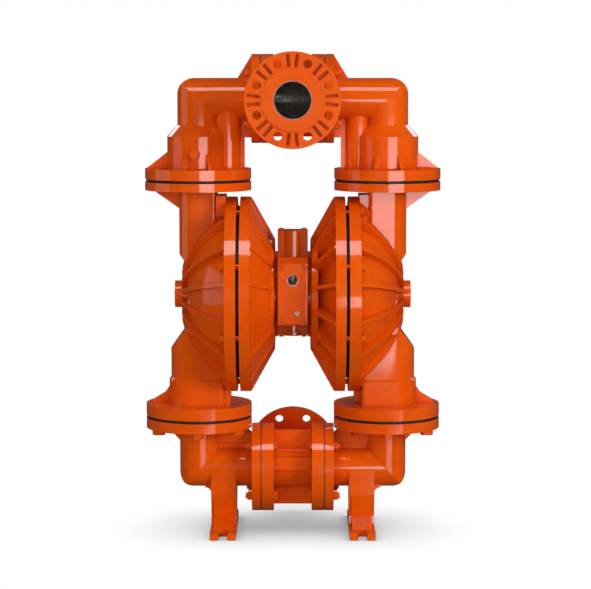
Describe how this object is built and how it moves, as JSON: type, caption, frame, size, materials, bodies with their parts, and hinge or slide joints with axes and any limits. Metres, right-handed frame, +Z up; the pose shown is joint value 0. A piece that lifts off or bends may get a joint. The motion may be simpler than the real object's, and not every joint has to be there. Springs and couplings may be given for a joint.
{
  "type": "air operated double diaphragm pump",
  "caption": "Air driven double diaphragm pump with flanged ports, ball check valves in bolted cast manifolds, a shuttle valve centre section and slotted feet.",
  "frame": {"origin": "floor level under the middle of the pump's box", "axes": "+Z up; +X to the right as seen from the front; the discharge port faces -Y and the inlet port faces +Y"},
  "size_m": [0.634, 0.42, 1.034],
  "materials": {
    "ball_rubber": "ground elastomer ball",
    "black_rubber": "moulded elastomer",
    "bronze": "turned bronze",
    "enamelled_aluminium": "glossy orange enamel on the centre section",
    "enamelled_iron": "glossy orange enamel on ductile iron castings",
    "machined_steel": "turned steel",
    "painted_fasteners": "hexagon fasteners painted over with the castings",
    "spool_steel": "ground steel"
  },
  "bodies": {
    "pump_casing": {"air_chamber_left": "enamelled_iron", "air_chamber_right": "enamelled_iron", "air_valve_body": "enamelled_aluminium", "cap_screws": "painted_fasteners", "center_block": "enamelled_aluminium", "center_screws": "painted_fasteners", "cover_gasket": "black_rubber", "cover_screws": "painted_fasteners", "diaphragm_left": "black_rubber", "diaphragm_right": "black_rubber", "discharge_column_bolts": "painted_fasteners", "discharge_elbow_left": "enamelled_iron", "discharge_elbow_right": "enamelled_iron", "discharge_seat_left": "machined_steel", "discharge_seat_right": "machined_steel", "discharge_tee": "enamelled_iron", "discharge_tee_bolts": "painted_fasteners", "discharge_tee_nuts": "painted_fasteners", "exhaust_cover": "enamelled_aluminium", "exhaust_screws": "painted_fasteners", "gauge_plug": "painted_fasteners", "inlet_column_bolts": "painted_fasteners", "inlet_cover": "enamelled_aluminium", "inlet_elbow_left": "enamelled_iron", "inlet_elbow_right": "enamelled_iron", "inlet_seat_left": "machined_steel", "inlet_seat_right": "machined_steel", "inlet_tee": "enamelled_iron", "inlet_tee_bolts": "painted_fasteners", "inlet_tee_nuts": "painted_fasteners", "liquid_chamber_left": "enamelled_iron", "liquid_chamber_right": "enamelled_iron", "lower_valve_cap": "enamelled_aluminium", "pilot_sleeve": "machined_steel", "ring_bolts_left": "painted_fasteners", "ring_bolts_right": "painted_fasteners", "seat_o_rings": "black_rubber", "shaft_bushings": "bronze", "shaft_seals": "black_rubber", "spool_sleeve": "machined_steel", "tee_gaskets": "black_rubber", "upper_valve_cap": "enamelled_aluminium", "valve_gasket": "black_rubber"},
    "shaft_assembly": {"diaphragm_shaft": "machined_steel", "inner_piston_left": "machined_steel", "inner_piston_right": "machined_steel", "outer_piston_left": "machined_steel", "outer_piston_right": "machined_steel"},
    "pilot_valve_spool": {"pilot_spool": "spool_steel"},
    "air_valve_spool": {"main_spool": "spool_steel"},
    "discharge_ball_left_body": {"discharge_ball_left": "ball_rubber"},
    "discharge_ball_right_body": {"discharge_ball_right": "ball_rubber"},
    "inlet_ball_left_body": {"inlet_ball_left": "ball_rubber"},
    "inlet_ball_right_body": {"inlet_ball_right": "ball_rubber"}
  },
  "joints": [
    {"name": "shaft_stroke", "type": "slide", "parent": "pump_casing", "child": "shaft_assembly", "axis": [1, 0, 0], "range_m": [-0.032, 0.032], "deforming": ["diaphragm_left", "diaphragm_right"]},
    {"name": "pilot_shift", "type": "slide", "parent": "pump_casing", "child": "pilot_valve_spool", "axis": [1, 0, 0], "range_m": [-0.006, 0.006]},
    {"name": "main_spool_shift", "type": "slide", "parent": "pump_casing", "child": "air_valve_spool", "axis": [0, 0, 1], "range_m": [0, 0.016]},
    {"name": "discharge_ball_left_lift", "type": "slide", "parent": "pump_casing", "child": "discharge_ball_left_body", "axis": [0, 0, 1], "range_m": [0, 0.019]},
    {"name": "discharge_ball_right_lift", "type": "slide", "parent": "pump_casing", "child": "discharge_ball_right_body", "axis": [0, 0, 1], "range_m": [0, 0.019]},
    {"name": "inlet_ball_left_lift", "type": "slide", "parent": "pump_casing", "child": "inlet_ball_left_body", "axis": [0, 0, 1], "range_m": [0, 0.019]},
    {"name": "inlet_ball_right_lift", "type": "slide", "parent": "pump_casing", "child": "inlet_ball_right_body", "axis": [0, 0, 1], "range_m": [0, 0.019]}
  ],
  "couplings": [
    {"joint": "pilot_shift", "follows": "shaft_stroke", "ratio": 0.1875}
  ]
}
